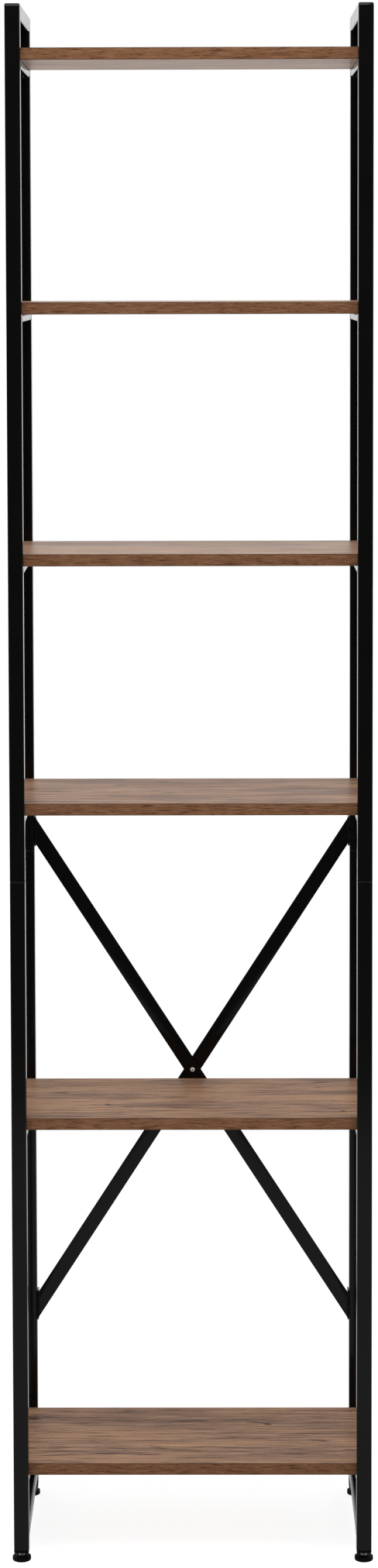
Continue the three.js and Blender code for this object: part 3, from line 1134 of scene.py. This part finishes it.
@dataclass(frozen=True)
class Shelves:
    """The six boards with their edge bands, and the rails that carry them."""

    finishes: Finishes
    tops: tuple[float, ...] = (128 * MM, 600 * MM, 1024 * MM, 1356 * MM, 1688 * MM, 2020 * MM)
    half_width: float = 239 * MM
    half_depth: float = 109.7 * MM
    thickness: float = 16 * MM
    band: float = 0.8 * MM
    edge: float = 0.8 * MM
    edge_steps: int = 5
    tube: Tube = Tube(10 * MM, 5 * MM, 2.3 * MM, 0.3 * MM)
    rail_x: float = 230 * MM
    rail_gap: float = 0.3 * MM
    post_face: float = 110 * MM

    def rail_bottoms(self) -> tuple[float, ...]:
        """The undersides of the rails."""
        return tuple(top - self.thickness - self.rail_gap - 2 * self.tube.half_v for top in self.tops)

    def build(self) -> None:
        """Makes every board and its two rails."""
        for number, (top, bottom) in enumerate(zip(self.tops, self.rail_bottoms()), 1):
            self.board(number, top - self.thickness / 2)
            for side, sx in SIDES:
                self.rail(f"shelf_rail_{number}_{side}", sx, bottom + self.tube.half_v)

    def rim(self, inset: float) -> Outline:
        """The board's outline, set in from its edges."""
        wide, deep = self.half_width - inset, self.half_depth - inset
        return [(wide, deep), (-wide, deep), (-wide, -deep), (wide, -deep)]

    def board(self, number: int, middle: float) -> None:
        """One board: a core and a band round its edges.

        Args:
            number: the board's number, from the lowest.
            middle: the height of its middle.
        """
        half = self.thickness / 2
        put = stand(Axis.Z, (0.0, 0.0, middle))
        node = f"shelf_board_{number}"
        core = [(self.rim(self.band), height) for height in (-half, half)]
        Shape().loft(placed(put, core)).piece(f"{node}_core", self.finishes.laminates[number], node)
        turns = [math.pi / 2 * k / self.edge_steps for k in range(self.edge_steps + 1)]
        easing = [(self.edge * (1 - math.sin(t)), half - self.edge * (1 - math.cos(t))) for t in turns]
        profile = [(self.band, -half), (self.band, half)] + easing + [(i, -h) for i, h in reversed(easing)]
        rows = placed(put, [(self.rim(inset), height) for inset, height in profile])
        made = Shape().loft(rows, loop=True).piece(f"edge_band_{number}", self.finishes.band)

        def choose(centre: Vector) -> int:
            """0 for the long edges, 1 for the short ones and 2 for the eased ones."""
            beside = abs(centre.x) > self.half_width - 2 * self.band
            return 2 if abs(centre.z - middle) > half - self.edge else int(beside)

        dress(made, (self.finishes.side_band, self.finishes.lip), choose)

    def rail(self, node: str, sx: int, height: float) -> None:
        """One flat tube under a board's end.

        Args:
            node: the CAD node.
            sx: -1 on the left, 1 on the right.
            height: the height of its middle.
        """
        put = stand(Axis.Y, (sx * self.rail_x, 0.0, height))
        shape = Shape().loft(self.tube.rows(put, -self.half_depth, self.half_depth), loop=True)
        Weld().butt(shape, put, self.tube, self.post_face, closed=False)
        shape.piece(f"{node}_tube", self.finishes.paint, node)


@dataclass(frozen=True)
class CrossBrace:
    """Two flat bars across the back, bolted to the rear posts and where they cross."""

    finishes: Finishes
    centre_z: float = 612.15 * MM
    half_rise: float = 337.15 * MM
    end_x: float = 217.7 * MM
    half_width: float = 10 * MM
    thickness: float = 3 * MM
    front_y: float = 111 * MM
    rear_y: float = 114.3 * MM
    soft: float = 0.5 * MM
    soft_steps: int = 3
    plate_half: float = 20.93 * MM
    plate_y: float = 120 * MM
    plate_half_depth: float = 10 * MM
    plate_thickness: float = 2 * MM
    plate_corner: float = 1.6 * MM
    centre_screw: Screw = Screw(3.1 * MM, 2.3 * MM, 2.0 * MM, 11.6 * MM, 1.15 * MM, 1.3 * MM, 0.7 * MM)
    post_screw: Screw = Screw(4.5 * MM, 2.7 * MM, 2.5 * MM, 13.6 * MM, 1.75 * MM, 1.5 * MM, 0.8 * MM)
    centre_head_y: float = 110.7 * MM
    post_screw_x: float = 217.4 * MM
    post_screw_y: float = 122.4 * MM
    nut_corner: float = 4.04 * MM
    nut_face: float = 0.92
    nut_edge: float = 0.4 * MM
    nut_points: int = 48
    nut_low: float = 117.6 * MM
    nut_high: float = 120.8 * MM

    def build(self) -> None:
        """Makes the bars, the bolts and the nut."""
        # dark is the black-oxide material; on the zinc bolts it is painted shade inside their sockets.
        bright, dark = self.finishes.zinc, self.finishes.black_oxide_and_socket_shade
        self.bar("brace_bar_front", -1, self.front_y)
        self.bar("brace_bar_rear", 1, self.rear_y)
        put = stand(Axis.Y, (0.0, self.centre_head_y, self.centre_z), -1)
        self.centre_screw.build("brace_centre_bolt_body", put, bright, dark, "brace_centre_bolt")
        self.nut()
        for level, rise in (("lower", -1), ("upper", 1)):
            for side, sx in SIDES:
                place = (sx * self.post_screw_x, self.post_screw_y, self.centre_z + rise * self.half_rise)
                node = f"brace_bolt_{level}_{side}"
                self.post_screw.build(f"{node}_body", stand(Axis.X, place, -sx), bright, dark, node)
                cad_finish(f"rivet_nut_{level}_{side}", bright)

    def bar(self, node: str, slope: int, y: float) -> None:
        """One bar with the plates welded to its ends.

        Args:
            node: the CAD node.
            slope: 1 where it rises to the right, -1 where it falls.
            y: its front face.
        """
        rise = slope * self.half_rise / self.end_x
        tall = math.hypot(self.end_x, self.half_rise) / self.end_x
        reach = self.half_width * tall
        tip = self.end_x + self.plate_thickness / 2
        outline = rounded(self.half_width, self.thickness / 2, self.soft, self.soft_steps)
        shape = Shape().loft([[Vector((x, y + self.thickness / 2 + v, self.centre_z + rise * x + u * tall))
                               for u, v in outline] for x in (-tip, tip)])
        plate = rounded(self.plate_half_depth, self.plate_half, self.plate_corner)
        edge = self.soft / 2
        for _, sx in SIDES:
            x, z = sx * self.end_x, self.centre_z + sx * slope * self.half_rise
            put = stand(Axis.X, (x, self.plate_y, z), sx)
            shape.loft(placed(put, ends(plate, shrunk(plate, edge), 0.0, self.plate_thickness, edge)))
            for face in (y, y + self.thickness):
                Weld().add(shape, [Vector((x, face, z - reach)), Vector((x, face, z + reach))], closed=False)
        shape.piece(f"{node}_steel", self.finishes.paint, node)

    def nut(self) -> None:
        """The nut behind the crossing."""
        full = hexagon(self.nut_corner, self.nut_points)
        limit = self.nut_face * self.nut_corner
        faced = [(u * min(1.0, limit / math.hypot(u, v)), v * min(1.0, limit / math.hypot(u, v))) for u, v in full]
        bore = circle(self.centre_screw.shank, self.nut_points)
        plan = ends(full, faced, self.nut_low, self.nut_high, self.nut_edge)
        rows = placed(stand(Axis.Y, (0.0, 0.0, self.centre_z)), plan + [(bore, self.nut_high), (bore, self.nut_low)])
        Shape().loft(rows, loop=True).piece("brace_centre_nut_body", self.finishes.zinc, "brace_centre_nut")


@dataclass(frozen=True)
class LevellingFeet:
    """The round pads, their studs and the plugs that the studs turn in."""

    finishes: Finishes
    post_x: float = 230 * MM
    post_y: float = 120 * MM
    pad_radius: float = 12.4 * MM
    pad_top: float = 5.5 * MM
    pad_round: float = 1.2 * MM
    pad_foot: float = 0.8 * MM
    pad_corners: int = 64
    boss_foot: float = 8 * MM
    boss_fillet: float = 0.5 * MM
    boss_radius: float = 7 * MM
    boss_top: float = 6.5 * MM
    boss_round: float = 0.4 * MM
    socket_radius: float = 4.3 * MM
    socket_floor: float = 3 * MM
    stud: Thread = Thread(4 * MM, 0.6 * MM, 1.25 * MM)
    stud_low: float = 3.3 * MM
    stud_high: float = 30.3 * MM
    stud_sharp: float = 60.0
    plug_rows: tuple[Flat, ...] = ((9.3 * MM, 11.7 * MM), (9.65 * MM, 11.85 * MM), (9.85 * MM, 12.3 * MM),
                                   (10 * MM, 14.3 * MM), (9.8 * MM, 14.7 * MM), (8.5 * MM, 14.7 * MM),
                                   (8.5 * MM, 31.7 * MM), (8.0 * MM, 32.7 * MM))
    plug_corner: float = 1.6 * MM
    plug_side_steps: int = 8

    def build(self) -> None:
        """Makes every foot."""
        for side, sx in SIDES:
            for depth, sy in DEPTHS:
                put = stand(Axis.Z, (sx * self.post_x, sy * self.post_y, 0.0))
                for make in (self.pad, self.thread, self.plug):
                    make(f"{depth}_{side}", put)

    def pad(self, corner: str, put: Placer) -> None:
        """One round pad.

        Args:
            corner: which corner of the unit.
            put: places a flat point and a height.
        """
        radius, top, soft = self.pad_radius, self.pad_top, self.pad_round
        fillet, ease = self.boss_fillet, self.boss_round
        profile = [(radius - self.pad_foot, 0.0), (radius - self.pad_foot / 4, self.pad_foot / 3),
                   (radius, self.pad_foot)]
        profile += arc(radius - soft, top - soft, soft, 0.0, math.pi / 2)
        profile += arc(self.boss_foot + fillet, top + fillet, fillet, -math.pi / 2, -math.pi)
        profile += arc(self.boss_radius - ease, self.boss_top - ease, ease, 0.0, math.pi / 2)
        profile += [(self.socket_radius, self.boss_top), (self.socket_radius, self.socket_floor)]
        rows = placed(put, [(circle(reach, self.pad_corners), height) for reach, height in profile])
        node = f"foot_pad_{corner}"
        Shape().loft(rows).piece(f"{node}_body", self.finishes.plastic, node, f"foot_{corner}")

    def thread(self, corner: str, put: Placer) -> None:
        """One threaded stud.

        Args:
            corner: which corner of the unit.
            put: places a flat point and a height.
        """
        node = f"foot_stud_{corner}"
        shape = Shape().loft(self.stud.rows(put, self.stud_low, self.stud_high))
        shape.piece(f"{node}_thread", self.finishes.dull_zinc, node, f"foot_{corner}", self.stud_sharp)

    def plug_outline(self, half: float) -> Outline:
        """A rounded square with points along its sides too, so that its bore can be round.

        Args:
            half: half its width.

        Returns:
            The points.
        """
        corners = rounded(half, half, self.plug_corner)
        points = []
        for (u, v), (next_u, next_v) in zip(corners, corners[1:] + corners[:1]):
            steps = self.plug_side_steps if math.hypot(next_u - u, next_v - v) > self.plug_corner else 1
            points += [(u + (next_u - u) * k / steps, v + (next_v - v) * k / steps) for k in range(steps)]
        return points

    def plug(self, corner: str, put: Placer) -> None:
        """One plug in a post's end.

        Args:
            corner: which corner of the unit.
            put: places a flat point and a height.
        """
        plan = [(self.plug_outline(half), height) for half, height in self.plug_rows]
        turns = [math.atan2(v, u) for u, v in plan[0][0]]
        bore = [(self.socket_radius * math.cos(t), self.socket_radius * math.sin(t)) for t in turns]
        plan += [(bore, self.plug_rows[-1][1]), (bore, self.plug_rows[0][1])]
        node = f"foot_plug_{corner}"
        Shape().loft(placed(put, plan), loop=True).piece(f"{node}_body", self.finishes.plastic, node)


@dataclass(frozen=True)
class Joiners:
    """The sleeves inside the seam and the screws that lock them."""

    finishes: Finishes
    screw: Screw = Screw(3.6 * MM, 2.2 * MM, 2.0 * MM, 6.0 * MM, 1.45 * MM, 1.3 * MM, 0.7 * MM)
    screw_place: Flat = (-109.7 * MM, 932.3 * MM)
    post_x: float = 230 * MM

    def build(self) -> None:
        """Makes the screws and gives the sleeves their finish."""
        for side, sx in SIDES:
            node = f"sleeve_screw_front_{side}"
            put = stand(Axis.Y, (sx * self.post_x, *self.screw_place))
            # The black-oxide material on this zinc screw is painted shade inside its socket.
            self.screw.build(f"{node}_body", put, self.finishes.zinc, self.finishes.black_oxide_and_socket_shade, node)
            for depth, _ in DEPTHS:
                cad_finish(f"joiner_sleeve_{depth}_{side}", self.finishes.zinc)


@dataclass(frozen=True)
class ShelfScrews:
    """The screws that hold each board to its rails, heads under the rails."""

    finishes: Finishes
    rail_bottoms: tuple[float, ...]
    screw: Screw = Screw(3.8 * MM, 1.6 * MM, 2.0 * MM, 20.0 * MM, 1.45 * MM, 1.0 * MM, 1.6 * MM)
    x: float = 230 * MM
    y: float = 70 * MM

    def build(self) -> None:
        """Makes four screws for each board."""
        dark = self.finishes.black_oxide_and_socket_shade
        for number, bottom in enumerate(self.rail_bottoms, 1):
            for side, sx in SIDES:
                for depth, sy in DEPTHS:
                    put = stand(Axis.Z, (sx * self.x, sy * self.y, bottom), -1)
                    self.screw.build(f"shelf_screw_{number}_{depth}_{side}", put, dark, dark)


# ---------------------------------------------------------------- studio


@dataclass(frozen=True)
class PhotoCamera:
    """The camera at the photograph's place and angle."""

    place: Point = (0.023637117, -4.427393765, 1.724614558)
    focal_px: float = 4240.715653
    pitch: float = 0.0719537524
    yaw: float = -0.00587
    roll: float = -0.0024509268
    centre_row: float = 659.3
    rows: int = 2024
    sensor: float = 36.0
    clip: Flat = (0.05, 100.0)

    def build(self) -> None:
        """Makes the camera the scene's own."""
        data = bpy.data.cameras.new("photo_camera")
        data.sensor_fit = "AUTO"
        data.sensor_width = self.sensor
        data.lens = self.sensor * self.focal_px / self.rows
        data.shift_y = (self.centre_row - self.rows / 2) / self.rows
        data.clip_start, data.clip_end = self.clip
        flat = math.cos(self.pitch)
        ahead = Vector((math.sin(self.yaw) * flat, math.cos(self.yaw) * flat, -math.sin(self.pitch)))
        level = Vector((math.cos(self.yaw), -math.sin(self.yaw), 0.0))
        above = level.cross(ahead)
        across = math.cos(self.roll) * level + math.sin(self.roll) * above
        upward = math.cos(self.roll) * above - math.sin(self.roll) * level
        made = link("photo_camera", data)
        made.matrix_world = Matrix.Translation(self.place) @ Matrix((across, upward, -ahead)).transposed().to_4x4()
        bpy.context.scene.camera = made


@dataclass(frozen=True)
class Lamp:
    """One soft square lamp."""

    name: str
    place: Point
    aim: Point
    size: float
    power: float
    mirrored: bool = True

    def build(self) -> None:
        """Makes the lamp."""
        data = bpy.data.lights.new(self.name, "AREA")
        data.shape = "SQUARE"
        data.size = self.size
        data.energy = self.power
        made = link(self.name, data)
        made.location = self.place
        made.visible_glossy = self.mirrored
        made.rotation_euler = (Vector(self.aim) - Vector(self.place)).to_track_quat("-Z", "Y").to_euler()


@dataclass(frozen=True)
class Studio:
    """A pale floor, a soft sky and the lamps."""

    floor_half: float = 14.0
    floor_front: float = -2.5
    floor_colour: float = 0.9
    seen_colour: float = 0.3
    floor_glow: float = 0.85
    # The floor's glow in gloss close to the unit, lowered as painted shade.
    mirrored_glow: float = 0.42
    nearby: Flat = (4.0, 0.8)
    sky: float = 0.7
    front_gloss: float = 0.12
    behind: Flat = (-0.35, 0.3)
    lamps: tuple[Lamp, ...] = (
        Lamp("high_front_lamp", (-0.1, -1.1, 3.1), (0.0, 0.0, 1.9), 1.0, 24.0),
        Lamp("low_front_lamp", (0.0, -1.6, 0.6), (0.0, 0.0, 2.0), 1.2, 8.0, False),
        Lamp("high_side_lamp", (2.2, -1.4, 3.6), (0.0, 0.0, 1.3), 1.6, 14.0),
    )

    def build(self) -> None:
        """Makes the floor, the sky and the lamps."""
        self.floor()
        self.world()
        for lamp in self.lamps:
            lamp.build()
        bpy.context.scene.view_settings.view_transform = "Standard"

    def floor(self) -> None:
        """The floor: white to the eye, greyer in gloss close by as painted shade of the floor near the unit, and
        plain to the light.
        """
        half, near = self.floor_half, self.floor_front
        shape = Shape()
        corners = ((-half, near, 0.0), (half, near, 0.0), (half, half, 0.0), (-half, half, 0.0))
        shape.mesh.faces.new(shape.ring(corners))
        material, graph = blank("pale_floor")
        # Painted shade: in gloss the floor glows dimmer close to the unit, standing in for its shade there.
        painted_shade_near = graph.ray("Glossy") * graph.ramp(graph.depth(graph.place()), *self.nearby)
        tone = graph.mix(painted_shade_near, grey(self.floor_glow), grey(self.mirrored_glow))
        plain = graph.node("ShaderNodeBsdfDiffuse", Color=grey(self.floor_colour))
        matt = graph.node("ShaderNodeBsdfDiffuse", Color=grey(self.seen_colour))
        white = graph.node("ShaderNodeAddShader", operands=(matt, graph.node("ShaderNodeEmission", Color=tone)))
        seen = graph.ray("Camera") | graph.ray("Glossy") | graph.ray("Transmission")
        graph.node("ShaderNodeOutputMaterial",
                   Surface=graph.node("ShaderNodeMixShader", operands=(seen, plain, white)))
        shape.close("studio_floor", material)

    def world(self) -> None:
        """The sky: white behind the unit, dim in front of it for gloss."""
        world = bpy.data.worlds.new("studio_sky")
        bpy.context.scene.world = world
        world.use_nodes = True
        world.cycles.sampling_method = "NONE"
        graph = Graph(world.node_tree)
        back = graph.ramp(graph.depth(graph.node("ShaderNodeTexCoord").outputs["Generated"]), *self.behind)
        mirrored = back * (1.0 - self.front_gloss) + self.front_gloss
        eye = graph.ray("Camera") | graph.ray("Transmission")
        gloss = graph.ray("Glossy")
        light = eye + (1.0 - eye) * (gloss * mirrored + (1.0 - gloss) * self.sky)
        backdrop = graph.node("ShaderNodeBackground", Color=graph.mix(light, grey(0.0), grey(1.0)))
        graph.node("ShaderNodeOutputWorld", Surface=backdrop)


def main() -> None:
    """Builds the scene in order."""
    logging.basicConfig(level=logging.INFO, format="%(name)s: %(message)s")
    PhotoCamera().build()
    finishes = Finishes()
    SteelFrame(finishes).build()
    shelves = Shelves(finishes)
    shelves.build()
    CrossBrace(finishes).build()
    LevellingFeet(finishes).build()
    Joiners(finishes).build()
    ShelfScrews(finishes, shelves.rail_bottoms()).build()
    Studio().build()


if __name__ == "__main__":
    main()
